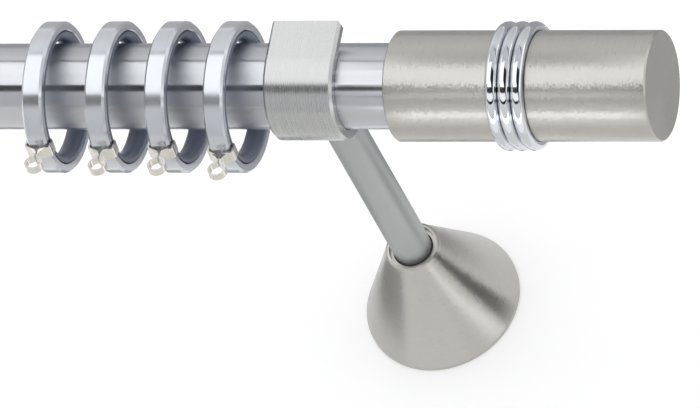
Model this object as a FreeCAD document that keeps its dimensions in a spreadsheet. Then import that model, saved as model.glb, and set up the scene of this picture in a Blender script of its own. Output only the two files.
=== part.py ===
# One end of a 28 mm metal curtain rod: wall bracket, pole, finial and four lined rings.
# The origin is on the wall, at the centre of the wall plate. X runs along the pole,
# Y goes into the wall and Z is up. The arm lies on the Y axis.
import FreeCAD, Part
import Sketcher
import math
import os
import re

doc = FreeCAD.newDocument("CurtainRod")

# Driving dimensions, in millimetres and degrees

SIZES = [
    # the pole and where it lies
    ("pole_diameter", 28.0, "outside of the steel pole"),
    ("pole_wall", 1.2, "wall of the pole"),
    ("pole_reach", 130.0, "from the bracket to the plain left end of the pole"),
    ("pole_entry", 22.0, "pole inside the finial"),
    ("projection", 144.0, "from the wall to the pole's axis"),
    ("arm_rise", 2.6, "height of the arm's axis above the pole's axis"),
    # what the turned and seated parts share
    ("edge_break", 0.5, "broken edges of turned parts and screws"),
    ("seat_gap", 0.1, "clearance round a seated part"),
    ("overcut", 1.0, "reach of a cut past the metal"),
    # the wall bracket
    ("cradle_width", 23.6, "cradle, along the pole"),
    ("cradle_wall", 3.4, "thickness of the cradle's strip"),
    ("cradle_gap", 0.2, "between the cradle and the pole"),
    ("cradle_front", 14.2, "height of the front plate above the pole's axis"),
    ("cradle_bevel", 0.9, "bevel round the cradle's outer face"),
    ("back_margin", 2.0, "back wall above the arm"),
    ("arm_diameter", 13.0, "round arm"),
    ("arm_seat_depth", 0.5, "spot face that the arm stands in"),
    ("cradle_screw_size", 5.0, "thread of the screw that holds cradle and arm"),
    ("cradle_screw_head", 9.2, "its countersunk head"),
    ("cradle_screw_length", 14.0, "head and thread together"),
    ("cradle_screw_socket", 3.0, "its hexagon, across the flats"),
    ("cradle_socket_depth", 2.1, "depth of the hexagon"),
    # the wall plate and the rose that hides it
    ("plate_diameter", 43.0, "steel wall plate"),
    ("plate_thickness", 3.0, "thickness of the wall plate"),
    ("boss_diameter", 20.0, "socket boss on the plate"),
    ("boss_height", 15.0, "boss, from the wall"),
    ("wall_screw_circle", 31.5, "circle of the wall screw holes"),
    ("wall_screw_hole", 4.5, "hole for a wall screw"),
    ("wall_screw_head", 8.6, "countersink for a wall screw"),
    ("wall_screw_count", 3, "wall screw holes"),
    ("rose_diameter", 52.4, "rose, at the wall"),
    ("rose_length", 36.5, "rose, from the wall to its lip"),
    ("rose_rim", 1.3, "straight rim at the wall"),
    ("rose_wall", 1.6, "wall of the rose"),
    ("lip_diameter", 18.8, "lip round the arm"),
    ("lip_round", 1.2, "rounding of the lip"),
    ("lip_recess", 1.4, "depth of the recess inside the lip"),
    ("lip_recess_diameter", 15.8, "recess inside the lip"),
    ("rose_bore", 13.7, "hole for the arm"),
    ("rose_neck", 10.0, "solid neck, from the lip"),
    # the finial
    ("finial_start", 29.3, "from the bracket to the finial"),
    ("finial_length", 89.4, "turned barrel"),
    ("finial_diameter", 36.0, "turned barrel"),
    ("finial_end_wall", 5.0, "metal behind the end face"),
    ("finial_cup", 23.0, "depth of the bore that takes the pole"),
    ("finial_relief", 25.0, "narrower bore behind it"),
    ("finial_fit", 0.15, "gap between finial and pole"),
    ("bead_circle", 37.5, "middle of a chrome ring's wire"),
    ("bead_wire", 4.3, "wire of a chrome ring"),
    ("bead_gap", 0.1, "between chrome rings and round them"),
    ("bead_station", 41.9, "middle chrome ring, from the barrel's inner end"),
    # the curtain rings
    ("ring_station_1", -88.1, "first ring, from the bracket"),
    ("ring_station_2", -66.4, "second ring"),
    ("ring_station_3", -45.9, "third ring"),
    ("ring_station_4", -25.7, "fourth ring"),
    ("ring_turn_1", 14.0, "first ring's eyelet, degrees towards the room"),
    ("ring_turn_2", 12.5, "second ring's eyelet"),
    ("ring_turn_3", 12.5, "third ring's eyelet"),
    ("ring_turn_4", 8.5, "fourth ring's eyelet"),
    ("ring_diameter", 49.3, "outside of a ring"),
    ("ring_width", 6.8, "ring, along the pole"),
    ("ring_wall", 3.0, "metal, from outside to inside"),
    ("ring_bevel", 0.75, "outer bevels"),
    ("ring_inner_bevel", 0.3, "inner bevels"),
    ("snap_width", 2.4, "groove that the liner snaps into"),
    ("snap_depth", 0.25, "depth of that groove"),
    ("snap_gap", 0.05, "clearance of the liner's rib"),
    ("liner_setback", 0.15, "liner's sides behind the ring's sides"),
    ("liner_shadow", 0.35, "gap between liner and metal beside the rib"),
    ("liner_side", 20.2, "radius of the liner's bore at its sides"),
    ("liner_bore", 36.6, "liner's bore at its rounded middle"),
    ("ring_gap", 0.25, "between the liner and the top of the pole"),
    ("strap_width", 4.4, "eyelet strap, along the ring's turn"),
    ("strap_thickness", 0.6, "strip that the strap is bent from"),
    ("strap_seat", 0.2, "strap below the ring's inside"),
    ("strap_clear", 0.5, "strap beside the ring's sides"),
    ("strap_bend", 0.7, "outer rounding where the strap turns in"),
    ("strap_slit", 0.5, "between the two halves of the neck"),
    ("strap_corner", 0.9, "inner rounding where the strap turns under the ring"),
    ("strap_pinch", 1.1, "inner rounding where the strap turns down into the neck"),
    ("wing_fall", 25.0, "slope of the strap under the ring, in degrees"),
    ("wing_gap", 0.18, "between the ring's underside and the strap"),
    ("neck_width", 2.5, "neck and eye, along the ring's turn"),
    ("eye_drop", 6.0, "eye's centre below the ring"),
    ("eye_diameter", 6.1, "outside of the rolled eye"),
    # grub screws
    ("grub_size", 4.0, "thread of the grub screws"),
    ("grub_gap", 0.05, "clearance of their holes"),
    ("grub_socket", 2.0, "hexagon across the flats"),
    ("grub_socket_depth", 1.6, "depth of the hexagon"),
    ("pole_grub_offset", 8.2, "pole's grub screw beside the arm"),
    ("rose_grub_depth", 5.0, "rose's grub screw behind the lip"),
    ("plate_grub_height", 10.0, "arm's grub screw, from the wall"),
    ("finial_grub_depth", 11.0, "finial's grub screw, from the barrel's inner end"),
]

RING_COUNT = 4
BEAD_COUNT = 3

sheet = doc.addObject("Spreadsheet::Sheet", "Sizes")
for row, (alias, value, remark) in enumerate(SIZES, 1):
    sheet.set(f"A{row}", remark)
    sheet.set(f"B{row}", str(value))
    sheet.setAlias(f"B{row}", alias)
doc.recompute()

FUNCTIONS = {"sqrt", "sin", "cos", "tan", "deg"}


# Helpers that bind sketches and features to the sheet

def linked(text):
    """The expression with each size's alias read from the sheet."""
    def prefix(match):
        word = match.group(0)
        return word if word in FUNCTIONS else "Sizes." + word
    return re.sub(r"[a-z][a-z_0-9]*", prefix, text)


def size(text):
    """The present value of an expression in sizes."""
    result = sheet.evalExpression(linked(text))
    return float(getattr(result, "Value", result))


def new_body(label):
    """An empty body that carries the sub-part's name."""
    body = doc.addObject("PartDesign::Body", label)
    body.Label = label
    return body


def place(body, x="0", y="0", z="0", axis=(0, 0, 1), angle="0"):
    """Puts the body's own origin in the rod's frame."""
    body.Placement.Rotation.Axis = FreeCAD.Vector(*axis)
    body.setExpression("Placement.Base.x", linked(x))
    body.setExpression("Placement.Base.y", linked(y))
    body.setExpression("Placement.Base.z", linked(z))
    body.setExpression("Placement.Rotation.Angle", linked(angle))


def new_sketch(body, name, role, across="0", up="0", out="0"):
    """A sketch on one of the body's origin planes, with its own origin moved."""
    plane = next(item for item in body.Origin.OriginFeatures if item.Role == role)
    sketch = body.newObject("Sketcher::SketchObject", name)
    sketch.AttachmentSupport = (plane, [""])
    sketch.MapMode = "FlatFace"
    sketch.setExpression("AttachmentOffset.Base.x", linked(across))
    sketch.setExpression("AttachmentOffset.Base.y", linked(up))
    sketch.setExpression("AttachmentOffset.Base.z", linked(out))
    return sketch


def pin(sketch, line, end, x, y):
    """Holds one end of a line at a place given by two expressions."""
    origin, x_axis, y_axis = -1, -1, -2
    for kind, text, axis in (("DistanceX", x, y_axis), ("DistanceY", y, x_axis)):
        if text == "0":
            sketch.addConstraint(Sketcher.Constraint("PointOnObject", line, end, axis))
        else:
            index = sketch.addConstraint(
                Sketcher.Constraint(kind, origin, 1, line, end, size(text)))
            sketch.setExpression(f"Constraints[{index}]", linked(text))


def outline(sketch, corners):
    """A closed outline. A corner is x, y and, where the side after it is an arc,
    the arc's radius with the word left or right for the side that it turns to."""
    count = len(corners)
    spots = [FreeCAD.Vector(size(corner[0]), size(corner[1]), 0) for corner in corners]
    turns = []
    for index, corner in enumerate(corners):
        start, end = spots[index], spots[(index + 1) % count]
        if len(corner) == 2:
            sketch.addGeometry(Part.LineSegment(start, end), False)
            turns.append(False)
            continue
        radius, side = size(corner[2]), corner[3]
        chord = end - start
        middle = (start + end) * 0.5
        height = math.sqrt(max(radius ** 2 - (chord.Length / 2) ** 2, 0.0))
        to_left = FreeCAD.Vector(-chord.y, chord.x, 0).normalize()
        centre = middle + to_left * (height if side == "left" else -height)
        first, last = (start, end) if side == "left" else (end, start)
        angles = [math.atan2(spot.y - centre.y, spot.x - centre.x) for spot in (first, last)]
        circle = Part.Circle(centre, FreeCAD.Vector(0, 0, 1), radius)
        sketch.addGeometry(Part.ArcOfCircle(circle, *angles), False)
        turns.append(side == "right")
    for index, corner in enumerate(corners):
        after = (index + 1) % count
        end_here = 1 if turns[index] else 2
        start_next = 2 if turns[after] else 1
        sketch.addConstraint(Sketcher.Constraint("Coincident", index, end_here, after, start_next))
    for index, corner in enumerate(corners):
        pin(sketch, index, 2 if turns[index] else 1, corner[0], corner[1])
        if len(corner) == 4:
            radius = sketch.addConstraint(Sketcher.Constraint("Radius", index, size(corner[2])))
            sketch.setExpression(f"Constraints[{radius}]", linked(corner[2]))
    return sketch


def circle(sketch, x, y, diameter):
    """A circle given by its centre and diameter."""
    centre = FreeCAD.Vector(size(x), size(y), 0)
    round_line = Part.Circle(centre, FreeCAD.Vector(0, 0, 1), size(diameter) / 2)
    index = sketch.addGeometry(round_line, False)
    pin(sketch, index, 3, x, y)
    constraint = sketch.addConstraint(Sketcher.Constraint("Diameter", index, size(diameter)))
    sketch.setExpression(f"Constraints[{constraint}]", linked(diameter))
    return sketch


def hexagon(sketch, across_flats):
    """A hexagon round the sketch's origin."""
    corners = []
    for turn in range(6):
        reach = f"{across_flats} / sqrt(3)"
        corners.append((f"{reach} * cos({60 * turn + 30} deg)",
                        f"{reach} * sin({60 * turn + 30} deg)"))
    return outline(sketch, corners)


def turned(body, sketch, name="Turned", kind="Revolution"):
    """Turns the outline round the sketch's own horizontal axis."""
    feature = body.newObject("PartDesign::" + kind, name)
    feature.Profile = sketch
    feature.ReferenceAxis = (sketch, ["H_Axis"])
    feature.Angle = 360
    return feature


def padded(body, sketch, length, name="Pad"):
    """Gives the outline a length, half to each side of its plane."""
    feature = body.newObject("PartDesign::Pad", name)
    feature.Profile = sketch
    feature.Midplane = True
    feature.setExpression("Length", linked(length))
    return feature


def cut(body, sketch, length, name="Pocket", midplane=False, reversed_side=False):
    """Cuts the outline into the body and makes sure that metal came off."""
    doc.recompute()
    before = body.Shape.Volume
    feature = body.newObject("PartDesign::Pocket", name)
    feature.Profile = sketch
    feature.Midplane = midplane
    feature.Reversed = reversed_side
    feature.setExpression("Length", linked(length))
    doc.recompute()
    if body.Shape.Volume >= before - 0.001:
        raise RuntimeError(f"{body.Label}: {name} cuts nothing")
    return feature


def grooved(body, sketch, name="Groove"):
    """Cuts the turned outline out of the body and makes sure that metal came off."""
    doc.recompute()
    before = body.Shape.Volume
    feature = turned(body, sketch, name, "Groove")
    doc.recompute()
    if body.Shape.Volume >= before - 0.001:
        raise RuntimeError(f"{body.Label}: {name} cuts nothing")
    return feature


def bevelled(body, feature, width, chosen):
    """Bevels the edges whose middle passes the test."""
    doc.recompute()
    names = []
    for number, edge in enumerate(feature.Shape.Edges, 1):
        middle = edge.valueAt((edge.FirstParameter + edge.LastParameter) / 2)
        if chosen(middle):
            names.append(f"Edge{number}")
    if not names:
        raise RuntimeError(f"{body.Label}: no edge to bevel")
    bevel = body.newObject("PartDesign::Chamfer", "Bevel")
    bevel.Base = (feature, names)
    bevel.setExpression("Size", linked(width))
    return bevel


# The pole

POLE = {"y": "-projection", "z": "-arm_rise"}


def make_pole():
    """Thin steel tube, sawn off plainly at the left and inside the finial."""
    body = new_body("pole_tube")
    sketch = new_sketch(body, "PoleWall", "XZ_Plane")
    left, right = "-pole_reach", "finial_start + pole_entry"
    outside, inside = "pole_diameter / 2", "pole_diameter / 2 - pole_wall"
    outline(sketch, [(left, inside), (right, inside), (right, outside), (left, outside)])
    turned(body, sketch)
    place(body, **POLE)


# The wall bracket

def make_cradle():
    """Strip bent into a U that the pole drops into, with the arm's seat at its back."""
    body = new_body("bracket_cradle")
    inside = "(pole_diameter / 2 + cradle_gap)"
    outside = "(pole_diameter / 2 + cradle_gap + cradle_wall)"
    back = "arm_rise + arm_diameter / 2 + back_margin"
    sketch = new_sketch(body, "Strip", "YZ_Plane")
    outline(sketch, [
        (f"-{outside}", "cradle_front"),
        (f"-{outside}", "0", outside, "left"),
        ("0", f"-{outside}", outside, "left"),
        (outside, "0"),
        (outside, back),
        (inside, back),
        (inside, "0", inside, "right"),
        ("0", f"-{inside}", inside, "right"),
        (f"-{inside}", "0"),
        (f"-{inside}", "cradle_front"),
    ])
    strip = padded(body, sketch, "cradle_width")

    side = size("cradle_width / 2")
    middle_radius = size(f"({inside} + {outside}) / 2")

    def on_outer_rim(spot):
        from_axis = abs(spot.y) if spot.z > 0 else math.hypot(spot.y, spot.z)
        return abs(abs(spot.x) - side) < 0.01 and from_axis > middle_radius

    bevelled(body, strip, "cradle_bevel", on_outer_rim)

    seat = new_sketch(body, "ArmSeat", "YZ_Plane", up="arm_rise")
    outline(seat, [
        (f"{outside} - arm_seat_depth", "0"),
        (f"{outside} + cradle_wall", "0"),
        (f"{outside} + cradle_wall", "arm_diameter / 2 + seat_gap"),
        (f"{outside} - arm_seat_depth", "arm_diameter / 2 + seat_gap"),
    ])
    grooved(body, seat, "SeatCut")

    # the countersunk hole's cone keeps the screw head's slope of 45 degrees
    hole = new_sketch(body, "ScrewHole", "YZ_Plane", up="arm_rise")
    narrow = "(cradle_screw_size / 2 + 4 * seat_gap)"
    wide = "(cradle_screw_head / 2 + 2 * seat_gap)"
    outline(hole, [
        (f"{inside} - overcut", "0"),
        (f"{outside} + overcut", "0"),
        (f"{outside} + overcut", narrow),
        (f"{inside} + {wide} - {narrow}", narrow),
        (inside, wide),
        (f"{inside} - overcut", wide),
    ])
    grooved(body, hole, "HoleCut")

    thread = new_sketch(body, "GrubHole", "XZ_Plane", across="pole_grub_offset",
                        out=f"-({outside} + overcut)")
    circle(thread, "0", "0", "grub_size + 2 * grub_gap")
    cut(body, thread, "cradle_wall + 2 * overcut", "GrubCut", reversed_side=True)
    place(body, **POLE)


def make_arm():
    """Solid round bar from the cradle's seat to the floor of the wall plate's socket."""
    body = new_body("bracket_arm")
    front = "(-projection + pole_diameter / 2 + cradle_gap + cradle_wall - arm_seat_depth)"
    back = "(-plate_thickness - seat_gap)"
    radius = "arm_diameter / 2"
    sketch = new_sketch(body, "Bar", "YZ_Plane")
    outline(sketch, [
        (front, "0"),
        (back, "0"),
        (back, f"{radius} - edge_break"),
        (f"{back} - edge_break", radius),
        (front, radius),
    ])
    turned(body, sketch)
    thread = new_sketch(body, "ThreadedHole", "YZ_Plane")
    bore = "cradle_screw_size / 2 + grub_gap"
    outline(thread, [
        (f"{front} - overcut", "0"),
        (f"{front} + cradle_screw_length", "0"),
        (f"{front} + cradle_screw_length", bore),
        (f"{front} - overcut", bore),
    ])
    grooved(body, thread, "ThreadCut")


def make_cradle_screw():
    """Countersunk screw through the back of the cradle into the arm."""
    body = new_body("cradle_screw")
    shank, head = "cradle_screw_size / 2", "cradle_screw_head / 2"
    sketch = new_sketch(body, "Screw", "YZ_Plane")
    outline(sketch, [
        ("0", "0"),
        ("cradle_screw_length", "0"),
        ("cradle_screw_length", f"{shank} - edge_break"),
        ("cradle_screw_length - edge_break", shank),
        (f"{head} - {shank}", shank),
        ("0", head),
    ])
    turned(body, sketch)
    socket = new_sketch(body, "Hexagon", "XZ_Plane")
    hexagon(socket, "cradle_screw_socket")
    cut(body, socket, "cradle_socket_depth", "SocketCut")
    place(body, y="-projection + pole_diameter / 2 + cradle_gap + 2 * seat_gap")


def make_wall_plate():
    """Steel disc on the wall, with a boss that the arm's end sits in."""
    body = new_body("wall_plate")
    socket = "arm_diameter / 2 + seat_gap"
    sketch = new_sketch(body, "PlateHalf", "YZ_Plane")
    outline(sketch, [
        ("0", "0"),
        ("0", "plate_diameter / 2"),
        ("-plate_thickness", "plate_diameter / 2"),
        ("-plate_thickness", "boss_diameter / 2"),
        ("-boss_height", "boss_diameter / 2"),
        ("-boss_height", socket),
        ("-plate_thickness", socket),
        ("-plate_thickness", "0"),
    ])
    turned(body, sketch)

    hole = new_sketch(body, "WallScrewHole", "YZ_Plane", up="wall_screw_circle / 2")
    narrow, wide = "(wall_screw_hole / 2)", "(wall_screw_head / 2)"
    outline(hole, [
        ("overcut", "0"),
        ("overcut", narrow),
        (f"-plate_thickness + {wide} - {narrow}", narrow),
        ("-plate_thickness", wide),
        ("-plate_thickness - overcut", wide),
        ("-plate_thickness - overcut", "0"),
    ])
    countersunk = grooved(body, hole, "WallScrewCut")
    pattern = body.newObject("PartDesign::PolarPattern", "WallScrews")
    pattern.Originals = [countersunk]
    pattern.Axis = (sketch, ["H_Axis"])
    pattern.Angle = 360
    pattern.setExpression("Occurrences", "Sizes.wall_screw_count")
    body.Tip = pattern
    doc.recompute()

    thread = new_sketch(body, "GrubHole", "YZ_Plane", out="boss_diameter / 2 + overcut")
    circle(thread, "-plate_grub_height", "0", "grub_size + 2 * grub_gap")
    cut(body, thread, "boss_diameter / 2 + overcut", "GrubCut")


def make_rose():
    """Hollow cone that slides along the arm and hides the wall plate."""
    body = new_body("wall_rose")
    rim, lip = "rose_diameter / 2", "lip_diameter / 2"
    cone_slope = "((rose_diameter - lip_diameter) / 2 / (rose_length - rose_rim - lip_round))"
    neck_end = "(rose_length - rose_neck)"
    wall_across = f"(rose_wall * sqrt(1 + {cone_slope} * {cone_slope}))"
    sketch = new_sketch(body, "RoseWall", "YZ_Plane")
    outline(sketch, [
        ("0", rim),
        ("-rose_rim", rim),
        ("-rose_length + lip_round", lip, "lip_round", "left"),
        ("-rose_length", f"{lip} - lip_round"),
        ("-rose_length", "lip_recess_diameter / 2"),
        ("-rose_length + lip_recess", "lip_recess_diameter / 2"),
        ("-rose_length + lip_recess", "rose_bore / 2"),
        (f"-{neck_end}", "rose_bore / 2"),
        (f"-{neck_end}", f"{rim} - ({neck_end} - rose_rim) * {cone_slope} - {wall_across}"),
        ("-rose_rim", f"{rim} - {wall_across}"),
        ("0", f"{rim} - {wall_across}"),
    ])
    turned(body, sketch)
    thread = new_sketch(body, "GrubHole", "XY_Plane", out="rose_diameter / 2")
    circle(thread, "0", "-rose_length + rose_grub_depth", "grub_size + 2 * grub_gap")
    cut(body, thread, "rose_diameter / 2", "GrubCut")


# The finial

def make_finial():
    """Turned barrel over the pole's end, with a seat for the chrome rings."""
    body = new_body("finial_barrel")
    outside = "finial_diameter / 2"
    cup = "(pole_diameter / 2 + finial_fit)"
    seat = "(bead_circle / 2 - bead_wire / 2 - bead_gap)"
    half_seat = f"({BEAD_COUNT} * bead_wire + {BEAD_COUNT + 1} * bead_gap) / 2"
    sketch = new_sketch(body, "BarrelWall", "XZ_Plane")
    outline(sketch, [
        ("0", f"{outside} - edge_break"),
        ("edge_break", outside),
        (f"bead_station - {half_seat}", outside),
        (f"bead_station - {half_seat}", seat),
        (f"bead_station + {half_seat}", seat),
        (f"bead_station + {half_seat}", outside),
        ("finial_length - edge_break", outside),
        ("finial_length", f"{outside} - edge_break"),
        ("finial_length", "0"),
        ("finial_length - finial_end_wall", "0"),
        ("finial_length - finial_end_wall", "finial_relief / 2"),
        ("finial_cup", "finial_relief / 2"),
        ("finial_cup", cup),
        ("edge_break", cup),
        ("0", f"{cup} + edge_break"),
    ])
    turned(body, sketch)
    thread = new_sketch(body, "GrubHole", "XZ_Plane", out=f"-({outside} + overcut)")
    circle(thread, "finial_grub_depth", "0", "grub_size + 2 * grub_gap")
    cut(body, thread, f"{outside} + overcut", "GrubCut", reversed_side=True)
    place(body, x="finial_start", **POLE)


def make_bead(number):
    """One polished chrome ring of round wire in the barrel's seat."""
    body = new_body(f"finial_ring_{number}")
    sketch = new_sketch(body, "Wire", "XZ_Plane")
    circle(sketch, "0", "bead_circle / 2", "bead_wire")
    turned(body, sketch)
    steps = number - (BEAD_COUNT + 1) / 2
    place(body, x=f"finial_start + bead_station + {steps} * (bead_wire + bead_gap)", **POLE)


# The curtain rings, each with its liner and its eyelet strap

def place_on_ring(body, number):
    """Hangs a piece of a ring on the pole, with the eyelet swung to the room."""
    place(body, x=f"ring_station_{number}", y="-projection",
          z="-arm_rise - (liner_bore / 2 - pole_diameter / 2 - ring_gap)",
          axis=(1, 0, 0), angle=f"-ring_turn_{number}")


def make_ring(number):
    """Flat chromed ring with bevelled edges and a groove for its liner."""
    body = new_body(f"ring_{number}")
    side, outside = "ring_width / 2", "ring_diameter / 2"
    inside, groove = "(ring_diameter / 2 - ring_wall)", "snap_width / 2"
    sketch = new_sketch(body, "RingSection", "XZ_Plane")
    outline(sketch, [
        (f"-{side} + ring_bevel", outside),
        (f"{side} - ring_bevel", outside),
        (side, f"{outside} - ring_bevel"),
        (side, f"{inside} + ring_inner_bevel"),
        (f"{side} - ring_inner_bevel", inside),
        (groove, inside),
        (groove, f"{inside} + snap_depth"),
        (f"-{groove}", f"{inside} + snap_depth"),
        (f"-{groove}", inside),
        (f"-{side} + ring_inner_bevel", inside),
        (f"-{side}", f"{inside} + ring_inner_bevel"),
        (f"-{side}", f"{outside} - ring_bevel"),
    ])
    turned(body, sketch)
    place_on_ring(body, number)


def make_liner(number):
    """Plastic liner with a snap rib, a rounded bore and a notch over the strap."""
    body = new_body(f"ring_liner_{number}")
    side, inside = "(ring_width / 2 - liner_setback)", "(ring_diameter / 2 - ring_wall)"
    rib = "(snap_width / 2 - snap_gap)"
    rise = "(liner_side - liner_bore / 2)"
    sketch = new_sketch(body, "LinerSection", "XZ_Plane")
    outline(sketch, [
        (f"-{side}", f"{inside} - liner_shadow"),
        (f"-{rib}", f"{inside} - liner_shadow"),
        (f"-{rib}", f"{inside} + snap_depth - snap_gap"),
        (rib, f"{inside} + snap_depth - snap_gap"),
        (rib, f"{inside} - liner_shadow"),
        (side, f"{inside} - liner_shadow"),
        (side, "liner_side", f"({side} * {side} + {rise} * {rise}) / (2 * {rise})", "right"),
        (f"-{side}", "liner_side"),
    ])
    turned(body, sketch)
    notch = new_sketch(body, "StrapNotch", "YZ_Plane")
    half = "(strap_width / 2 + seat_gap)"
    floor = f"-({inside} - strap_seat - strap_thickness - seat_gap)"
    outline(notch, [
        (f"-{half}", floor),
        (f"-{half}", f"-{inside} - overcut"),
        (half, f"-{inside} - overcut"),
        (half, floor),
    ])
    cut(body, notch, "ring_width", "NotchCut", midplane=True)
    place_on_ring(body, number)


def make_clip(number):
    """Nickel strip bent round the ring's section, pinched below it and rolled into an eye."""
    body = new_body(f"ring_clip_{number}")
    inside = "(ring_diameter / 2 - ring_wall - strap_seat)"
    leg_in = "(ring_width / 2 + strap_clear)"
    leg_out = f"({leg_in} + strap_thickness)"
    fall = "(wing_fall * 1 deg)"

    def underside(x):
        """Depth of the strap's upper face under the ring."""
        slope = f"(ring_width / 2 - ring_bevel - {x}) * tan({fall})"
        return f"(ring_diameter / 2 + wing_gap + {slope})"

    def rounding(x, z, radius):
        """Where an arc round this middle meets the strap's slope."""
        return f"{x} + {radius} * sin{fall}", f"-({z} + {radius} * cos{fall})"

    corner_x = f"({leg_in} - strap_corner)"
    corner_z = f"({underside(corner_x)} - strap_corner / cos{fall})"
    pinch_x = "(strap_slit / 2 + strap_pinch)"
    pinch_z = f"({underside(pinch_x)} + strap_pinch / cos{fall})"
    outer_corner = "(strap_corner + strap_thickness)"
    outer_pinch = "(strap_pinch - strap_thickness)"
    neck = "(strap_thickness + strap_slit / 2)"
    eye = "(ring_diameter / 2 + eye_drop)"
    eye_top = f"({eye} - sqrt(eye_diameter * eye_diameter / 4 - {neck} * {neck}))"

    bend_x, bend_z = rounding(corner_x, corner_z, outer_corner)
    fold_x, fold_z = rounding(pinch_x, pinch_z, f"-{outer_pinch}")
    sketch = new_sketch(body, "StrapOutside", "XZ_Plane")
    outline(sketch, [
        (f"-{leg_out} + strap_bend", f"-{inside} + strap_thickness", "strap_bend", "left"),
        (f"-{leg_out}", f"-{inside} + strap_thickness - strap_bend"),
        (f"-{leg_out}", f"-{corner_z}", outer_corner, "left"),
        (f"-({bend_x})", bend_z),
        (f"-({fold_x})", fold_z, outer_pinch, "right"),
        (f"-{neck}", f"-{pinch_z}"),
        (f"-{neck}", f"-{eye_top}", "eye_diameter / 2", "left"),
        ("0", f"-{eye} - eye_diameter / 2", "eye_diameter / 2", "left"),
        (neck, f"-{eye_top}"),
        (neck, f"-{pinch_z}", outer_pinch, "right"),
        (fold_x, fold_z),
        (bend_x, bend_z, outer_corner, "left"),
        (leg_out, f"-{corner_z}"),
        (leg_out, f"-{inside} + strap_thickness - strap_bend", "strap_bend", "left"),
        (f"{leg_out} - strap_bend", f"-{inside} + strap_thickness"),
    ])
    padded(body, sketch, "strap_width")

    bend_x, bend_z = rounding(corner_x, corner_z, "strap_corner")
    fold_x, fold_z = rounding(pinch_x, pinch_z, "-strap_pinch")
    slit = "strap_slit / 2"
    window = new_sketch(body, "StrapInside", "XZ_Plane")
    outline(window, [
        (f"-{leg_in}", f"-{inside}"),
        (f"-{leg_in}", f"-{corner_z}", "strap_corner", "left"),
        (f"-({bend_x})", bend_z),
        (f"-({fold_x})", fold_z, "strap_pinch", "right"),
        (f"-{slit}", f"-{pinch_z}"),
        (f"-{slit}", f"-{eye}"),
        (slit, f"-{eye}"),
        (slit, f"-{pinch_z}", "strap_pinch", "right"),
        (fold_x, fold_z),
        (bend_x, bend_z, "strap_corner", "left"),
        (leg_in, f"-{corner_z}"),
        (leg_in, f"-{inside}"),
    ])
    cut(body, window, "strap_width + overcut", "WindowCut", midplane=True)
    eyelet = new_sketch(body, "Eye", "XZ_Plane")
    circle(eyelet, "0", f"-{eye}", "eye_diameter - 2 * strap_thickness")
    cut(body, eyelet, "strap_width + overcut", "EyeCut", midplane=True)

    below = f"-({eye} + eye_diameter / 2 + overcut)"
    for side, sign in (("Front", "-"), ("Back", "")):
        taper = new_sketch(body, f"{side}Taper", "YZ_Plane")
        outline(taper, [
            (f"{sign}neck_width / 2", f"-{pinch_z}"),
            (f"{sign}strap_width / 2", f"-({pinch_z} - strap_pinch)"),
            (f"{sign}(strap_width / 2 + overcut)", f"-({pinch_z} - strap_pinch)"),
            (f"{sign}(strap_width / 2 + overcut)", below),
            (f"{sign}neck_width / 2", below),
        ])
        cut(body, taper, "2 * ring_width", f"{side}TaperCut", midplane=True)
    place_on_ring(body, number)


# Grub screws, each along its own Z axis with the socket end up

def make_grub(label, length, **where):
    """Socket set screw."""
    body = new_body(label)
    radius, edge = "grub_size / 2", "(grub_size / 8)"
    sketch = new_sketch(body, "Grub", "XY_Plane")
    circle(sketch, "0", "0", "grub_size")
    pad = body.newObject("PartDesign::Pad", "Pad")
    pad.Profile = sketch
    pad.setExpression("Length", linked(length))
    bevelled(body, pad, edge, lambda spot: spot.z < 0.01)
    socket = new_sketch(body, "Hexagon", "XY_Plane", out=length)
    hexagon(socket, "grub_socket")
    cut(body, socket, "grub_socket_depth", "SocketCut")
    place(body, **where)


make_pole()
make_cradle()
make_arm()
make_cradle_screw()
make_wall_plate()
make_rose()
make_finial()
for bead in range(1, BEAD_COUNT + 1):
    make_bead(bead)
for ring in range(1, RING_COUNT + 1):
    make_ring(ring)
    make_liner(ring)
    make_clip(ring)

make_grub("pole_grub_screw", "cradle_wall", x="pole_grub_offset",
          y="-projection + pole_diameter / 2", z="-arm_rise", axis=(1, 0, 0), angle="-90")
make_grub("finial_grub_screw", "(finial_diameter - pole_diameter) / 2 - seat_gap",
          x="finial_start + finial_grub_depth", y="-projection + pole_diameter / 2",
          z="-arm_rise", axis=(1, 0, 0), angle="-90")
make_grub("arm_grub_screw", "(boss_diameter - arm_diameter) / 2 - seat_gap",
          x="arm_diameter / 2", y="-plate_grub_height", axis=(0, 1, 0), angle="90")
make_grub("rose_grub_screw", "(lip_diameter - arm_diameter) / 2 + seat_gap",
          y="-rose_length + rose_grub_depth", z="arm_diameter / 2")

doc.recompute()

# Every object must be sound before anything is written

bodies = [item for item in doc.Objects if item.TypeId == "PartDesign::Body"]
for item in doc.Objects:
    if "Invalid" in item.State or "Error" in item.State:
        raise RuntimeError(f"{item.Label} failed: {item.State}")
for body in bodies:
    if body.Shape.isNull() or not body.Shape.isValid() or len(body.Shape.Solids) != 1:
        raise RuntimeError(f"{body.Label} has no sound solid")

os.makedirs("parts", exist_ok=True)
for body in bodies:
    body.Shape.exportStep(os.path.join("parts", body.Label + ".step"))
    print(f"{body.Label:20s} {body.Shape.Volume:10.1f} mm3")
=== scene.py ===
"""Finishes for one end of a metal curtain rod, with the studio and camera of its picture."""

import math

import bpy
from mathutils import Matrix, Vector


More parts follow.
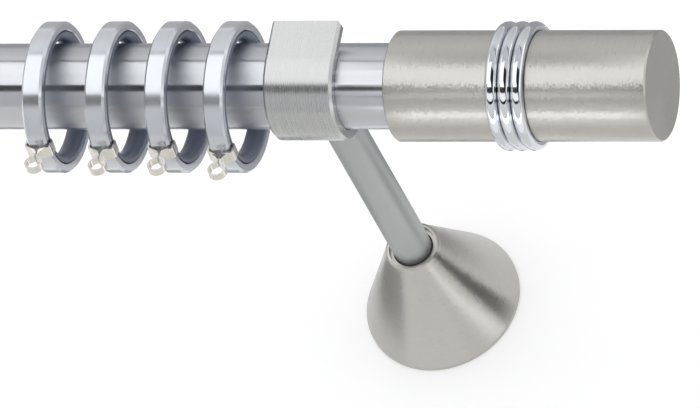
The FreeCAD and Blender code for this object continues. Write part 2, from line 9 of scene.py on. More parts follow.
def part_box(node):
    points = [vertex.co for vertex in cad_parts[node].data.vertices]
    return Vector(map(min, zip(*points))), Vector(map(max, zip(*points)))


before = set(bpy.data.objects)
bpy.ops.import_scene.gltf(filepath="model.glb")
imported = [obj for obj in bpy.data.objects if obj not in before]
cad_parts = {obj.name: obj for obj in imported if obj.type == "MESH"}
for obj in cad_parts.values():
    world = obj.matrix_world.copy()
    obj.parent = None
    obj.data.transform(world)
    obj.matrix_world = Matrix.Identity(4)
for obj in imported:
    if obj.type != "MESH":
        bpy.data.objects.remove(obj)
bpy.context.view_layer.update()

bl_info = {
    "name": "Curtain rod",
    "version": (1, 0, 0),
    "blender": (4, 5, 0),
    "location": "View3D > Sidebar > Curtain rod",
    "description": "Metal and plastic finishes for a curtain rod's end, and its studio",
    "category": "Material",
}

MM = 0.001
RINGS = range(1, 5)
BEADS = range(1, 4)

# Noise stays mostly between these values
NOISE_LOW, NOISE_HIGH = 0.3, 0.7
SCRATCH_NOISE = {"Scale": 1.0, "Detail": 3.0, "Roughness": 0.65}


# Places read from the frame, in metres

def middle(node):
    """The middle of a node's box."""
    low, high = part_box(node)
    return (low + high) / 2


POLE_AXIS = middle("pole_tube")
WALL_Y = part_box("wall_plate")[1].y
ROSE_RADIUS = (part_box("wall_rose")[1].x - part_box("wall_rose")[0].x) / 2
BARREL_START, BARREL_END = (corner.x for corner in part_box("finial_barrel"))
BARREL_RADIUS = (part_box("finial_barrel")[1].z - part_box("finial_barrel")[0].z) / 2


# Colours and nodes

def linear(code, alpha=False):
    """An sRGB hex colour as linear values."""
    values = []
    for start in (1, 3, 5):
        part = int(code[start:start + 2], 16) / 255
        values.append(part / 12.92 if part <= 0.04045 else ((part + 0.055) / 1.055) ** 2.4)
    return tuple(values) + ((1.0,) if alpha else ())


def add_node(tree, kind, inputs=None, **settings):
    """A node with its settings. An input is a value or another node's output."""
    node = tree.nodes.new(kind)
    for name, value in settings.items():
        setattr(node, name, value)
    for name, value in (inputs or {}).items():
        if isinstance(value, bpy.types.NodeSocket):
            tree.links.new(value, node.inputs[name])
        else:
            node.inputs[name].default_value = value
    return node


def new_material(name):
    """An empty node material with its output and Principled shader."""
    material = bpy.data.materials.new(name)
    material.use_nodes = True
    tree = material.node_tree
    tree.nodes.clear()
    shader = add_node(tree, "ShaderNodeBsdfPrincipled")
    add_node(tree, "ShaderNodeOutputMaterial", {"Surface": shader.outputs["BSDF"]})
    return material, tree, shader


def dress(names, material):
    """Puts a material in the slots of CAD nodes."""
    for name in names:
        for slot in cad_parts[name].material_slots:
            slot.material = material


def streaks(tree, spacing, length, along):
    """Noise drawn out into scratches. The vector along is 1 on each axis that the
    scratches follow and 0 on each axis that they cross."""
    place = add_node(tree, "ShaderNodeTexCoord")
    scale = [1 / (length if follows else spacing) for follows in along]
    stretched = add_node(tree, "ShaderNodeMapping",
                         {"Vector": place.outputs["Object"], "Scale": scale})
    return add_node(tree, "ShaderNodeTexNoise",
                    {"Vector": stretched.outputs["Vector"], **SCRATCH_NOISE})


def turned_streaks(tree, spacing, length, axis, centre):
    """Noise drawn out round an axis, as a lathe and a belt leave it. It is counted
    along the profile, so a cylinder, a cone and an end face all show fine circles."""
    place = add_node(tree, "ShaderNodeTexCoord")
    moved = add_node(tree, "ShaderNodeVectorMath",
                     {0: place.outputs["Object"], 1: centre}, operation="SUBTRACT")
    across = Vector((1, 1, 1)) - Vector(axis)
    radial = add_node(tree, "ShaderNodeVectorMath",
                      {0: moved.outputs["Vector"], 1: across}, operation="MULTIPLY")
    radius = add_node(tree, "ShaderNodeVectorMath",
                      {0: radial.outputs["Vector"]}, operation="LENGTH")
    station = add_node(tree, "ShaderNodeVectorMath",
                       {0: moved.outputs["Vector"], 1: axis}, operation="DOT_PRODUCT")
    profile = add_node(tree, "ShaderNodeMath",
                       {0: radius.outputs["Value"], 1: station.outputs["Value"]},
                       operation="ADD")
    lines = add_node(tree, "ShaderNodeMath",
                     {0: profile.outputs["Value"], 1: 1 / spacing}, operation="MULTIPLY")
    round_about = add_node(tree, "ShaderNodeVectorMath",
                           {0: radial.outputs["Vector"], "Scale": 1 / length},
                           operation="SCALE")
    along = add_node(tree, "ShaderNodeVectorMath",
                     {0: axis, "Scale": lines.outputs["Value"]}, operation="SCALE")
    vector = add_node(tree, "ShaderNodeVectorMath",
                      {0: round_about.outputs["Vector"], 1: along.outputs["Vector"]},
                      operation="ADD")
    return add_node(tree, "ShaderNodeTexNoise",
                    {"Vector": vector.outputs["Vector"], **SCRATCH_NOISE})


def blotches(tree, size):
    """Slow noise for handling marks and uneven plating."""
    place = add_node(tree, "ShaderNodeTexCoord")
    return add_node(tree, "ShaderNodeTexNoise",
                    {"Vector": place.outputs["Object"], "Scale": 1 / size, "Detail": 2.0})


def spread(tree, noise, low, high):
    """Noise spread to a range of values."""
    return add_node(tree, "ShaderNodeMapRange",
                    {"Value": noise.outputs["Fac"],
                     "From Min": NOISE_LOW, "From Max": NOISE_HIGH,
                     "To Min": low, "To Max": high}).outputs["Result"]


def tinted(tree, colour, factor, darker):
    """The colour, and a darker one where the factor is 0."""
    dark = [part * darker for part in colour]
    mix = add_node(tree, "ShaderNodeMix", data_type="RGBA")
    tree.links.new(factor, mix.inputs["Factor"])
    for side, shade in (("A_Color", dark), ("B_Color", colour)):
        socket = next(item for item in mix.inputs if item.identifier == side)
        socket.default_value = (*shade, 1.0)
    return next(item for item in mix.outputs if item.identifier == "Result_Color")


def wavering(tree, noise, axis, tilt):
    """The surface turned a little to and fro along its scratches, which run round an
    axis. An edge in the reflection is ragged then, as on brushed metal."""
    surface = add_node(tree, "ShaderNodeNewGeometry").outputs["Normal"]
    along = add_node(tree, "ShaderNodeVectorMath", {0: axis, 1: surface},
                     operation="CROSS_PRODUCT")
    turn = add_node(tree, "ShaderNodeVectorMath",
                    {0: along.outputs["Vector"], "Scale": spread(tree, noise, -tilt, tilt)},
                    operation="SCALE")
    turned = add_node(tree, "ShaderNodeVectorMath", {0: surface, 1: turn.outputs["Vector"]})
    unit = add_node(tree, "ShaderNodeVectorMath", {0: turned.outputs["Vector"]},
                    operation="NORMALIZE")
    return unit.outputs["Vector"]


def relief(tree, shader, height, depth, surface=None):
    """Bump of a real depth in metres, on the surface or on a turned one."""
    bump = add_node(tree, "ShaderNodeBump",
                    {"Height": height, "Strength": 1.0, "Distance": depth})
    if surface is not None:
        tree.links.new(surface, bump.inputs["Normal"])
    tree.links.new(bump.outputs["Normal"], shader.inputs["Normal"])


def drawn_out(tree, shader, amount, letter):
    """Blurs reflections across scratches, with a tangent that runs round an axis."""
    quarter_turn = 0.25
    shader.inputs["Anisotropic"].default_value = amount
    shader.inputs["Anisotropic Rotation"].default_value = quarter_turn
    around = add_node(tree, "ShaderNodeTangent", direction_type="RADIAL", axis=letter)
    tree.links.new(around.outputs["Tangent"], shader.inputs["Tangent"])


# What a user would change

def colour_setting(name, description, code):
    """A colour that the user can change."""
    return bpy.props.FloatVectorProperty(name=name, description=description,
                                         subtype="COLOR", min=0, max=1,
                                         default=linear(code))


class RodFinish(bpy.types.PropertyGroup):
    """Colours and surface sizes of the rod's finishes."""
    drawn_steel: colour_setting("Pole", "Satin steel of the pole", "#ccced3")
    ring_chrome: colour_setting("Rings", "Satin chrome of the curtain rings", "#d4d7dd")
    liner_plastic: colour_setting("Liners", "Plastic of the ring liners", "#6e788b")
    strap_nickel: colour_setting("Eyelet straps", "Bright nickel of the straps", "#eae7e0")
    bracket_nickel: colour_setting("Cradle", "Brushed nickel of the cradle", "#c3c4c4")
    arm_steel: colour_setting("Arm", "Satin steel of the arm", "#b4b6b6")
    turned_nickel: colour_setting("Finial and rose", "Turned and brushed nickel", "#bdbcb7")
    bead_chrome: colour_setting("Finial rings", "Polished chrome", "#d6d9de")
    zinc: colour_setting("Plate and screws", "Zinc plating", "#a3a5a8")
    brush_spacing: bpy.props.FloatProperty(
        name="Brush spacing", description="Between the lines of a brushed face",
        unit="LENGTH", min=0.00005, default=0.32 * MM)
    brush_length: bpy.props.FloatProperty(
        name="Brush length", description="Length of a line on a brushed face",
        unit="LENGTH", min=0.001, default=5.0 * MM)


class RodStudio(bpy.types.PropertyGroup):
    """The camera's direction and the strength of the studio's light."""
    azimuth: bpy.props.FloatProperty(
        name="Azimuth", description="Camera round the rod, from straight in front",
        subtype="ANGLE", default=math.radians(22.53))
    elevation: bpy.props.FloatProperty(
        name="Elevation", description="Camera above the horizon",
        subtype="ANGLE", default=math.radians(-28.28))
    roll: bpy.props.FloatProperty(
        name="Roll", description="Camera's tilt to its side",
        subtype="ANGLE", default=math.radians(11.2))
    distance: bpy.props.FloatProperty(
        name="Distance", description="Camera to the rod", unit="LENGTH", default=5.658)
    room_light: bpy.props.FloatProperty(
        name="Room light", description="Brightness of the pale room", default=0.75)
    front_light: bpy.props.FloatProperty(
        name="Front light", description="Brightness of the softboxes", default=0.85)


# Metals and plastic

def drawn_steel(finish):
    """Satin steel tube, drawn through a die and polished as it spun: bands with clean
    edges along the tube, while all that stands across it blurs into soft shades. The
    drawing lines are 0.5 mm apart, because real ones, a tenth of that, don't show in
    the picture."""
    material, tree, shader = new_material("drawn_satin_steel")
    lines = streaks(tree, spacing=0.5 * MM, length=60 * MM, along=(1, 0, 0))
    marks = blotches(tree, size=25 * MM)
    shader.inputs["Metallic"].default_value = 1.0
    colour = tinted(tree, finish.drawn_steel, spread(tree, marks, 0, 1), darker=0.94)
    tree.links.new(colour, shader.inputs["Base Color"])
    tree.links.new(spread(tree, lines, low=0.24, high=0.27), shader.inputs["Roughness"])
    relief(tree, shader, lines.outputs["Fac"], depth=0.00008 * MM)
    drawn_out(tree, shader, amount=1.0, letter="X")
    return material


def satin_chrome(finish):
    """Zinc ring, chromed over a satin ground: clear reflections with a blue cast, over
    a little light that the ground scatters, so that no part of a ring goes black."""
    material, tree, shader = new_material("satin_chrome")
    grain = blotches(tree, size=1.2 * MM)
    marks = blotches(tree, size=9 * MM)
    shader.inputs["Metallic"].default_value = 0.75
    colour = tinted(tree, finish.ring_chrome, spread(tree, marks, 0, 1), darker=0.93)
    tree.links.new(colour, shader.inputs["Base Color"])
    tree.links.new(spread(tree, marks, low=0.16, high=0.22), shader.inputs["Roughness"])
    relief(tree, shader, grain.outputs["Fac"], depth=0.002 * MM)
    return material


def moulded_nylon(finish):
    """Nylon, moulded in a spark-eroded tool: a dull even skin with a soft sheen."""
    material, tree, shader = new_material("moulded_nylon")
    skin = blotches(tree, size=0.5 * MM)
    marks = blotches(tree, size=12 * MM)
    colour = tinted(tree, finish.liner_plastic, spread(tree, marks, 0, 1), darker=0.88)
    tree.links.new(colour, shader.inputs["Base Color"])
    tree.links.new(spread(tree, skin, low=0.34, high=0.46), shader.inputs["Roughness"])
    shader.inputs["IOR"].default_value = 1.53
    relief(tree, shader, skin.outputs["Fac"], depth=0.01 * MM)
    return material


def bright_nickel(finish):
    """Spring strip, plated with bright nickel and then bent: warm and glossy, with
    fine lines from rolling that run along the strip."""
    material, tree, shader = new_material("bright_nickel_strip")
    lines = streaks(tree, spacing=0.35 * MM, length=8 * MM, along=(0, 0, 1))
    marks = blotches(tree, size=3 * MM)
    shader.inputs["Metallic"].default_value = 1.0
    colour = tinted(tree, finish.strap_nickel, spread(tree, marks, 0, 1), darker=0.85)
    tree.links.new(colour, shader.inputs["Base Color"])
    tree.links.new(spread(tree, lines, low=0.14, high=0.26), shader.inputs["Roughness"])
    relief(tree, shader, lines.outputs["Fac"], depth=0.004 * MM)
    return material


def belt_brushed_nickel(finish):
    """Steel strip, nickel plated and brushed on a belt round its bend: a soft glow with
    fine upright lines, which scatter a little of the light. The lines are as wide as
    they need to be to show."""
    material, tree, shader = new_material("belt_brushed_nickel")
    lines = streaks(tree, spacing=1.5 * finish.brush_spacing,
                    length=16 * finish.brush_length, along=(0, 1, 1))
    shader.inputs["Metallic"].default_value = 0.85
    colour = tinted(tree, finish.bracket_nickel, spread(tree, lines, 0, 1), darker=0.87)
    tree.links.new(colour, shader.inputs["Base Color"])
    tree.links.new(spread(tree, lines, low=0.22, high=0.32), shader.inputs["Roughness"])
    turned = wavering(tree, lines, axis=(1, 0, 0), tilt=0.016)
    relief(tree, shader, lines.outputs["Fac"], depth=0.001 * MM, surface=turned)
    drawn_out(tree, shader, amount=0.6, letter="X")
    return material


def satin_bar(finish):
    """Round bar, blasted and then sanded fine: a dull, even grey that scatters much of
    the light, with faint lengthwise lines."""
    material, tree, shader = new_material("sanded_satin_bar")
    lines = streaks(tree, spacing=0.6 * MM, length=45 * MM, along=(0, 1, 0))
    shader.inputs["Metallic"].default_value = 0.8
    colour = tinted(tree, finish.arm_steel, spread(tree, lines, 0, 1), darker=0.97)
    tree.links.new(colour, shader.inputs["Base Color"])
    tree.links.new(spread(tree, lines, low=0.44, high=0.52), shader.inputs["Roughness"])
    relief(tree, shader, lines.outputs["Fac"], depth=0.001 * MM)
    return material


def turned_nickel(finish, name, axis, centre, letter, dullness):
    """Turned brass, nickel plated and brushed while it spun: warm, with fine circles
    that draw each light out across them. The brush skipped, so the circles are short
    and the surface wavers along them: an edge in the reflection breaks up into glitter.
    The circles are coarser than the real ones, so that they show."""
    material, tree, shader = new_material(name)
    skip_length = 0.18 * finish.brush_length
    variation = 0.05
    lines = turned_streaks(tree, finish.brush_spacing, finish.brush_length, axis, centre)
    skips = turned_streaks(tree, finish.brush_spacing, skip_length, axis, centre)
    shader.inputs["Metallic"].default_value = 0.9
    colour = tinted(tree, finish.turned_nickel, spread(tree, lines, 0, 1), darker=0.95)
    tree.links.new(colour, shader.inputs["Base Color"])
    tree.links.new(spread(tree, lines, dullness - variation, dullness + variation),
                   shader.inputs["Roughness"])
    turned = wavering(tree, skips, axis, tilt=0.12)
    relief(tree, shader, lines.outputs["Fac"], depth=0.002 * MM, surface=turned)
    drawn_out(tree, shader, amount=0.5, letter=letter)
    return material


def polished_chrome(finish):
    """Brass wire, polished and chromed: a clear mirror with the faintest ripple."""
    material, tree, shader = new_material("polished_chrome")
    ripple = blotches(tree, size=2.5 * MM)
    shader.inputs["Metallic"].default_value = 1.0
    colour = tinted(tree, finish.bead_chrome, spread(tree, ripple, 0, 1), darker=0.96)
    tree.links.new(colour, shader.inputs["Base Color"])
    tree.links.new(spread(tree, ripple, low=0.06, high=0.11), shader.inputs["Roughness"])
    relief(tree, shader, ripple.outputs["Fac"], depth=0.01 * MM)
    return material


def zinc_plate(finish):
    """Pressed steel, zinc plated and passivated: cool grey with cloudy patches."""
    material, tree, shader = new_material("zinc_plated_steel")
    clouds = blotches(tree, size=5 * MM)
    grain = blotches(tree, size=0.6 * MM)
    shader.inputs["Metallic"].default_value = 1.0
    colour = tinted(tree, finish.zinc, spread(tree, clouds, 0, 1), darker=0.82)
    tree.links.new(colour, shader.inputs["Base Color"])
    tree.links.new(spread(tree, clouds, low=0.32, high=0.46), shader.inputs["Roughness"])
    relief(tree, shader, grain.outputs["Fac"], depth=0.006 * MM)
    return material


# One operator for each piece or group of like pieces

class ROD_OT_pole(bpy.types.Operator):
    """Gives the pole its drawn satin steel"""
    bl_idname = "curtain_rod.pole"
    bl_label = "Pole"

    def execute(self, context):
        dress(["pole_tube"], drawn_steel(context.scene.rod_finish))
        return {"FINISHED"}


class ROD_OT_rings(bpy.types.Operator):
    """Gives the curtain rings their satin chrome, nylon liners and nickel straps"""
    bl_idname = "curtain_rod.rings"
    bl_label = "Curtain rings"

    def execute(self, context):
        finish = context.scene.rod_finish
        dress([f"ring_{number}" for number in RINGS], satin_chrome(finish))
        dress([f"ring_liner_{number}" for number in RINGS], moulded_nylon(finish))
        dress([f"ring_clip_{number}" for number in RINGS], bright_nickel(finish))
        return {"FINISHED"}


class ROD_OT_bracket(bpy.types.Operator):
    """Gives the cradle, the arm and the rose their brushed and sanded metal"""
    bl_idname = "curtain_rod.bracket"
    bl_label = "Wall bracket"

    def execute(self, context):
        finish = context.scene.rod_finish
        dress(["bracket_cradle"], belt_brushed_nickel(finish))
        dress(["bracket_arm"], satin_bar(finish))
        dress(["wall_rose"],
              turned_nickel(finish, "turned_nickel_rose", axis=(0, 1, 0),
                            centre=(0, 0, 0), letter="Y", dullness=0.31))
        return {"FINISHED"}


class ROD_OT_finial(bpy.types.Operator):
    """Gives the finial its turned nickel and its chrome rings"""
    bl_idname = "curtain_rod.finial"
    bl_label = "Finial"

    def execute(self, context):
        finish = context.scene.rod_finish
        dress(["finial_barrel"],
              turned_nickel(finish, "turned_nickel_barrel", axis=(1, 0, 0),
                            centre=POLE_AXIS, letter="X", dullness=0.32))
        dress([f"finial_ring_{number}" for number in BEADS], polished_chrome(finish))
        return {"FINISHED"}


class ROD_OT_fixings(bpy.types.Operator):
    """Gives the wall plate and the screws their zinc"""
    bl_idname = "curtain_rod.fixings"
    bl_label = "Plate and screws"

    def execute(self, context):
        screws = [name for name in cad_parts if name.endswith("_screw")]
        dress(["wall_plate", *screws], zinc_plate(context.scene.rod_finish))
        return {"FINISHED"}


# The studio, in metres

BLACK, WHITE = "#101114", "#ffffff"

# The wall lies a little behind the rose, whose edge covers that of the wall's opening
WALL_HALF = 2.5
WALL_GAP, WALL_OVERLAP = 0.2 * MM, 0.3 * MM
WALL_CORNERS = 96
FLOOR_DROP = 1.2

# The large softbox in front. Its lower and upper edges and the end of the floor are
# angles at the pole. The flags under and over it and at its right hang behind it.
FRONT_DISTANCE = 1.6
SOFTBOX_LEFT, SOFTBOX_RIGHT = -2.8, 0.35
SOFTBOX_LOW, SOFTBOX_HIGH = math.radians(-26.6), math.radians(36.5)
FLOOR_EDGE = math.radians(-44)
FLAG_GAP, RIGHT_FLAG_GAP = 0.02, 0.1

# The narrow softbox at the right
SIDE_LAMP = Vector((1.2, POLE_AXIS.y - 0.3, 0.35))
SIDE_LAMP_WIDTH, SIDE_LAMP_HEIGHT = 0.4, 1.4

# How far cards hang off the wall and beside the rose
CARD_OFF_WALL, CARD_OFF_ROSE = 2 * MM, 20 * MM

# Stripes lie this far under the finial's axis or before it, and start this far in from
# the barrel's left end
STRIPE_DROP, STRIPE_DISTANCE = 0.04, 0.09
STRIPE_INSET = 3 * MM

# The direction from the finial to the camera, seen along the pole and in degrees, and
# how far a ray that the finial mirrors runs to the left for each metre of its reach
CAMERA_DIP, SLANT = -30.2, 0.355

# The picture's camera.
IMAGE_WIDTH = 700
FOCAL_PIXELS = 17500.0
CAMERA_AIM = Vector((10.81, -121.56, -33.6)) * MM


def stage_mesh(name, points, faces, material):
    """A stage piece from its corners."""
    mesh = bpy.data.meshes.new(name)
    mesh.from_pydata([tuple(point) for point in points], [], faces)
    obj = bpy.data.objects.new(name, mesh)
    mesh.materials.append(material)
    bpy.context.scene.collection.objects.link(obj)
    return obj


def one_sided(name, code, glow):
    """Matt paint that is seen from its front only. Camera, mirror and glass see it
    brighter by its glow, so that a white one comes out white."""
    material = bpy.data.materials.new(name)
    material.use_nodes = True
    tree = material.node_tree
    tree.nodes.clear()
    seen = add_node(tree, "ShaderNodeLightPath")
    gloss = add_node(tree, "ShaderNodeMath",
                     {0: seen.outputs["Is Camera Ray"], 1: seen.outputs["Is Glossy Ray"]},
                     operation="MAXIMUM")
    any_view = add_node(tree, "ShaderNodeMath",
                        {0: gloss.outputs["Value"],
                         1: seen.outputs["Is Transmission Ray"]}, operation="MAXIMUM")
    strength = add_node(tree, "ShaderNodeMath",
                        {0: any_view.outputs["Value"], 1: glow}, operation="MULTIPLY")
    paint = add_node(tree, "ShaderNodeBsdfDiffuse", {"Color": linear(code, alpha=True)})
    light = add_node(tree, "ShaderNodeEmission", {"Strength": strength.outputs["Value"]})
    both = add_node(tree, "ShaderNodeAddShader",
                    {0: paint.outputs["BSDF"], 1: light.outputs["Emission"]})
    side = add_node(tree, "ShaderNodeNewGeometry")
    clear = add_node(tree, "ShaderNodeBsdfTransparent")
    mix = add_node(tree, "ShaderNodeMixShader",
                   {"Fac": side.outputs["Backfacing"], 1: both.outputs["Shader"],
                    2: clear.outputs["BSDF"]})
    add_node(tree, "ShaderNodeOutputMaterial", {"Surface": mix.outputs["Shader"]})
    return material


def build_wall(paint):
    """The wall, with a round opening where the rose covers it, which shows the plate
    in views from behind."""
    opening = ROSE_RADIUS - WALL_OVERLAP
    y = WALL_Y + WALL_GAP
    almost_nothing = 1e-6
    directions = []
    for index in range(WALL_CORNERS):
        angle = 2 * math.pi * index / WALL_CORNERS
        directions.append((math.cos(angle), math.sin(angle)))
    points = [(opening * across, y, opening * up) for across, up in directions]
    for across, up in directions:
        height = FLOOR_DROP if up < 0 else WALL_HALF
        reach = min(WALL_HALF / max(abs(across), almost_nothing),
                    height / max(abs(up), almost_nothing))
        points.append((reach * across, y, reach * up))
    faces = []
    for index in range(WALL_CORNERS):
        after = (index + 1) % WALL_CORNERS
        faces.append((index, WALL_CORNERS + index, WALL_CORNERS + after, after))
    stage_mesh("wall", points, faces, paint)


def build_floor(paint):
    """The pale floor under the rod. It ends in front where the camera looks past it."""
    front = POLE_AXIS.y - FLOOR_DROP / math.tan(-FLOOR_EDGE)
    corners = [(-WALL_HALF, front, -FLOOR_DROP), (WALL_HALF, front, -FLOOR_DROP),
               (WALL_HALF, WALL_Y, -FLOOR_DROP), (-WALL_HALF, WALL_Y, -FLOOR_DROP)]
    stage_mesh("floor", corners, [(0, 1, 2, 3)], paint)


def hang_card(name, corners, code, glow=0.0):
    """A matt or shining card that shows in the metal alone: neither the camera nor the
    light on the object knows of it."""
    card_paint, tree, shader = new_material(name)
    shader.inputs["Base Color"].default_value = linear(code, alpha=True)
    shader.inputs["Roughness"].default_value = 0.9
    shader.inputs["Emission Color"].default_value = linear(code, alpha=True)
    shader.inputs["Emission Strength"].default_value = glow
    card = stage_mesh(name, corners, [(0, 1, 2, 3)], card_paint)
    card.visible_camera = False
    card.visible_diffuse = False
    card.visible_shadow = False


def hang_flag(name, low, high, left, right, code):
    """A card behind the front softbox, between two heights given as angles at the pole."""
    y = POLE_AXIS.y - FRONT_DISTANCE - FLAG_GAP
    bottom, top = (POLE_AXIS.z + FRONT_DISTANCE * math.tan(angle) for angle in (low, high))
    hang_card(name, [(left, y, bottom), (right, y, bottom), (right, y, top),
                     (left, y, top)], code)


def level_card(name, height, left, right, front, code, glow=0.0):
    """A level card over or under the pole, as far back as the wall."""
    z = POLE_AXIS.z + height
    hang_card(name, [(left, front, z), (right, front, z), (right, WALL_Y, z),
                     (left, WALL_Y, z)], code, glow)


def wall_card(name, left, right, low, high, code):
    """A card just off the wall."""
    y = WALL_Y - CARD_OFF_WALL
    hang_card(name, [(left, y, low), (right, y, low), (right, y, high), (left, y, high)],
              code)


def side_card(name, x, front, front_heights, wall_heights, code, glow=0.0):
    """A card that stands out from the wall beside the rose, with the heights of its lower
    and upper edge at its front and at the wall."""
    hang_card(name, [(x, front, front_heights[0]), (x, WALL_Y, wall_heights[0]),
                     (x, WALL_Y, wall_heights[1]), (x, front, front_heights[1])],
              code, glow)


def finial_stripe(name, high, low, code, glow=0.0):
    """A stripe close to the finial, which shows along it in the picture where it mirrors
    directions between two heights, in degrees. It lies before the finial where the upper
    height is over 0, and under it otherwise."""
    radius = BARREL_RADIUS
    corners = []
    start, end = BARREL_START + STRIPE_INSET, BARREL_END
    for angle, ends in ((high, (start, end)), (low, (end, start))):
        facing = math.radians((angle + CAMERA_DIP) / 2)
        up, ahead = math.sin(math.radians(angle)), math.cos(math.radians(angle))
        start_y, start_z = -radius * math.cos(facing), radius * math.sin(facing)
        if high > 0:
            reach = (STRIPE_DISTANCE + start_y) / ahead
        else:
            reach = (-STRIPE_DROP - start_z) / up
        for x in ends:
            corners.append((x - SLANT * reach, POLE_AXIS.y + start_y - reach * ahead,
                            POLE_AXIS.z + start_z + reach * up))
    hang_card(name, corners, code, glow)


def hang_right_flag():
    """A dark flag at the right, between two directions from the pole."""
    distance = FRONT_DISTANCE + RIGHT_FLAG_GAP
    low, high = -1.15, 0.08
    near_side, far_side = (
        (distance * math.sin(angle), POLE_AXIS.y - distance * math.cos(angle))
        for angle in (math.radians(12), math.radians(60)))
    hang_card("right_flag", [(*near_side, low), (*far_side, low), (*far_side, high),
                             (*near_side, high)], "#1c1d20")


def hang_stripes():
    """The pale, dark and bright lines along the finial, from top to bottom."""
    finial_stripe("finial_top_stripe", high=46, low=12, code="#e6e6e7", glow=0.12)
    finial_stripe("finial_edge_stripe", high=-22, low=-32.5, code=WHITE, glow=1.0)
    finial_stripe("finial_dark_stripe", high=-32.5, low=-43, code="#39393b")
    finial_stripe("finial_light_stripe", high=-43, low=-57, code=WHITE, glow=0.5)
    finial_stripe("finial_fine_stripe", high=-57, low=-62, code=BLACK)
    finial_stripe("finial_plain_stripe", high=-62, low=-86, code=WHITE, glow=0.15)
    finial_stripe("finial_bright_stripe", high=-88, low=-98, code=WHITE, glow=1.8)
    finial_stripe("finial_low_stripe", high=-98, low=-118, code=WHITE, glow=0.45)


def build_cards():
    """The cards that draw the lines of the metal: flags under, over and beside the front
    softbox, level cards over and under the rod, stripes by the finial, cards on the wall
    for the side faces of rings, cradle and finial, and cards on both sides of the rose."""
    hang_flag("low_flag", low=FLOOR_EDGE, high=SOFTBOX_LOW - math.radians(0.5),
              left=-WALL_HALF, right=WALL_HALF, code=BLACK)
    hang_flag("high_flag", low=math.radians(37.5), high=math.radians(42), left=-0.88,
              right=WALL_HALF, code="#505154")
    level_card("upper_card", height=0.15, left=-0.5, right=0.4, front=POLE_AXIS.y,
               code="#c8c8ca")
    level_card("lower_card", height=-0.06, left=-0.6, right=0.5,
               front=POLE_AXIS.y - 0.01, code="#f4f3ef", glow=0.17)
    level_card("rose_low_card", height=-0.058, left=-0.07, right=0.04, front=-0.05,
               code=WHITE, glow=0.24)
    hang_stripes()
    hang_right_flag()
    wall_card("end_card", left=0.12, right=0.4, low=0.04, high=0.14, code="#bcbcbe")
    wall_card("ring_side_card", left=-0.05, right=0.06, low=0.05, high=0.14,
              code="#a8a8ab")
    wall_card("cradle_side_card", left=0.064, right=0.1, low=0.05, high=0.14,
              code="#56565a")
    x = ROSE_RADIUS + CARD_OFF_ROSE
    side_card("rose_dark_card", x, front=-0.07, front_heights=(-0.011, 0.006),
              wall_heights=(-0.011, 0.006), code=BLACK)
    side_card("rose_light_card", x, front=-0.06, front_heights=(-0.07, -0.048),
              wall_heights=(-0.024, -0.012), code=WHITE, glow=0.85)
    x = -ROSE_RADIUS - CARD_OFF_ROSE
    side_card("rose_left_card", x, front=-0.03, front_heights=(-0.06, 0.01),
              wall_heights=(-0.06, 0.01), code="#b4b4b6")
    wall_card("rose_far_card", left=-0.2, right=x, low=-0.035, high=0.01,
              code="#9a9a9c")


def add_softbox(name, centre, facing, width, height, brightness):
    """An area lamp of a given brightness, where 1 is a white card."""
    lamp = bpy.data.lights.new(name, "AREA")
    lamp.shape = "RECTANGLE"
    lamp.size = width
    lamp.size_y = height
    lamp.energy = math.pi * width * height * brightness
    obj = bpy.data.objects.new(name, lamp)
    obj.location = centre
    obj.rotation_euler = (Vector(facing) - Vector(centre)).to_track_quat("-Z", "Y").to_euler()
    obj.visible_camera = False
    bpy.context.scene.collection.objects.link(obj)


def light_rod(brightness):
    """The large softbox in front, and the narrow one at the right."""
    bottom = POLE_AXIS.z + FRONT_DISTANCE * math.tan(SOFTBOX_LOW)
    top = POLE_AXIS.z + FRONT_DISTANCE * math.tan(SOFTBOX_HIGH)
    centre = ((SOFTBOX_LEFT + SOFTBOX_RIGHT) / 2, POLE_AXIS.y - FRONT_DISTANCE,
              (bottom + top) / 2)
    add_softbox("front_softbox", centre, (centre[0], 0, centre[2]),
                SOFTBOX_RIGHT - SOFTBOX_LEFT, top - bottom, brightness)
    add_softbox("side_softbox", SIDE_LAMP, (0, SIDE_LAMP.y, SIDE_LAMP.z),
                SIDE_LAMP_WIDTH, SIDE_LAMP_HEIGHT, brightness)


def light_room(brightness):
    """A pale room with a brighter band round it at mid height and a duller ceiling."""
    world = bpy.data.worlds.new("room")
    world.use_nodes = True
    tree = world.node_tree
    tree.nodes.clear()
    place = add_node(tree, "ShaderNodeTexCoord")
    height = add_node(tree, "ShaderNodeSeparateXYZ", {"Vector": place.outputs["Generated"]})
    band = add_node(tree, "ShaderNodeMapRange",
                    {"Value": height.outputs["Z"], "From Min": 0.5, "From Max": 0.7,
                     "To Min": 1.0, "To Max": 1.25})
    ceiling = add_node(tree, "ShaderNodeMapRange",
                       {"Value": height.outputs["Z"], "From Min": 0.7, "From Max": 1.0,
                        "To Min": 1.0, "To Max": 0.72})
    level = add_node(tree, "ShaderNodeMath",
                     {0: band.outputs["Result"], 1: ceiling.outputs["Result"]},
                     operation="MULTIPLY")
    strength = add_node(tree, "ShaderNodeMath",
                        {0: level.outputs["Value"], 1: brightness}, operation="MULTIPLY")
    room = add_node(tree, "ShaderNodeBackground",
                    {"Color": (1.0, 1.0, 1.0, 1.0), "Strength": strength.outputs["Value"]})
    add_node(tree, "ShaderNodeOutputWorld", {"Surface": room.outputs["Background"]})
    bpy.context.scene.world = world


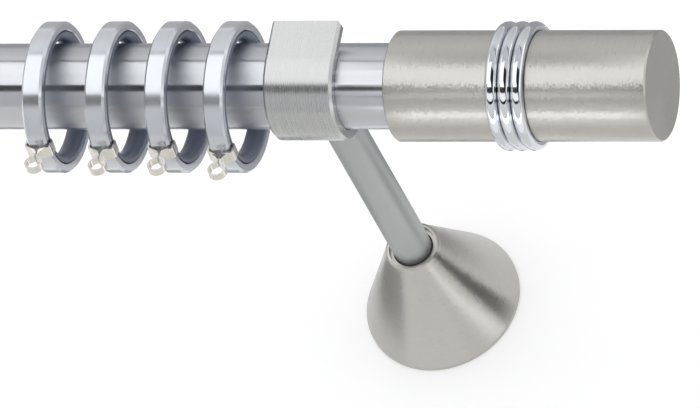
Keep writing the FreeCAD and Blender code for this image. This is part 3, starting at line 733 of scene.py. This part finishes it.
def add_camera(studio):
    """The picture's camera, far off and from below the rod."""
    back = Vector((math.sin(studio.azimuth) * math.cos(studio.elevation),
                   -math.cos(studio.azimuth) * math.cos(studio.elevation),
                   math.sin(studio.elevation)))
    level = Vector((math.cos(studio.azimuth), math.sin(studio.azimuth), 0))
    right = level * math.cos(studio.roll) + back.cross(level) * math.sin(studio.roll)
    up = back.cross(right)
    lens = bpy.data.cameras.new("picture_camera")
    lens.sensor_fit = "HORIZONTAL"
    lens.sensor_width = 36.0
    lens.lens = FOCAL_PIXELS / IMAGE_WIDTH * lens.sensor_width
    lens.clip_start = 0.1
    lens.clip_end = 60.0
    camera = bpy.data.objects.new("picture_camera", lens)
    place = Matrix((right, up, back)).transposed().to_4x4()
    place.translation = CAMERA_AIM + back * studio.distance
    camera.matrix_world = place
    bpy.context.scene.collection.objects.link(camera)
    bpy.context.scene.camera = camera


class ROD_OT_studio(bpy.types.Operator):
    """Builds the wall, floor, cards, lamps, room and camera of the picture"""
    bl_idname = "curtain_rod.studio"
    bl_label = "Studio"

    def execute(self, context):
        studio = context.scene.rod_studio
        build_wall(one_sided("white_wall_paint", code="#ededee", glow=0.25))
        build_floor(one_sided("pale_floor_paint", code="#d9d9da", glow=0.0))
        build_cards()
        light_rod(studio.front_light)
        light_room(studio.room_light)
        add_camera(studio)
        context.scene.view_settings.view_transform = "Standard"
        return {"FINISHED"}


class ROD_PT_panel(bpy.types.Panel):
    """Lists the rod's pieces and its studio"""
    bl_idname = "ROD_PT_panel"
    bl_label = "Curtain rod"
    bl_space_type = "VIEW_3D"
    bl_region_type = "UI"
    bl_category = "Curtain rod"

    def draw(self, context):
        column = self.layout.column()
        for operator in OPERATORS:
            column.operator(operator.bl_idname)
        for settings in (context.scene.rod_finish, context.scene.rod_studio):
            for name in settings.__annotations__:
                column.prop(settings, name)


OPERATORS = (ROD_OT_pole, ROD_OT_rings, ROD_OT_bracket, ROD_OT_finial, ROD_OT_fixings,
             ROD_OT_studio)
CLASSES = (RodFinish, RodStudio, *OPERATORS, ROD_PT_panel)


def register():
    for item in CLASSES:
        bpy.utils.register_class(item)
    bpy.types.Scene.rod_finish = bpy.props.PointerProperty(type=RodFinish)
    bpy.types.Scene.rod_studio = bpy.props.PointerProperty(type=RodStudio)


def unregister():
    del bpy.types.Scene.rod_studio
    del bpy.types.Scene.rod_finish
    for item in reversed(CLASSES):
        bpy.utils.unregister_class(item)


def main():
    register()
    bpy.ops.curtain_rod.pole()
    bpy.ops.curtain_rod.rings()
    bpy.ops.curtain_rod.bracket()
    bpy.ops.curtain_rod.finial()
    bpy.ops.curtain_rod.fixings()
    bpy.ops.curtain_rod.studio()


if __name__ == "__main__":
    main()
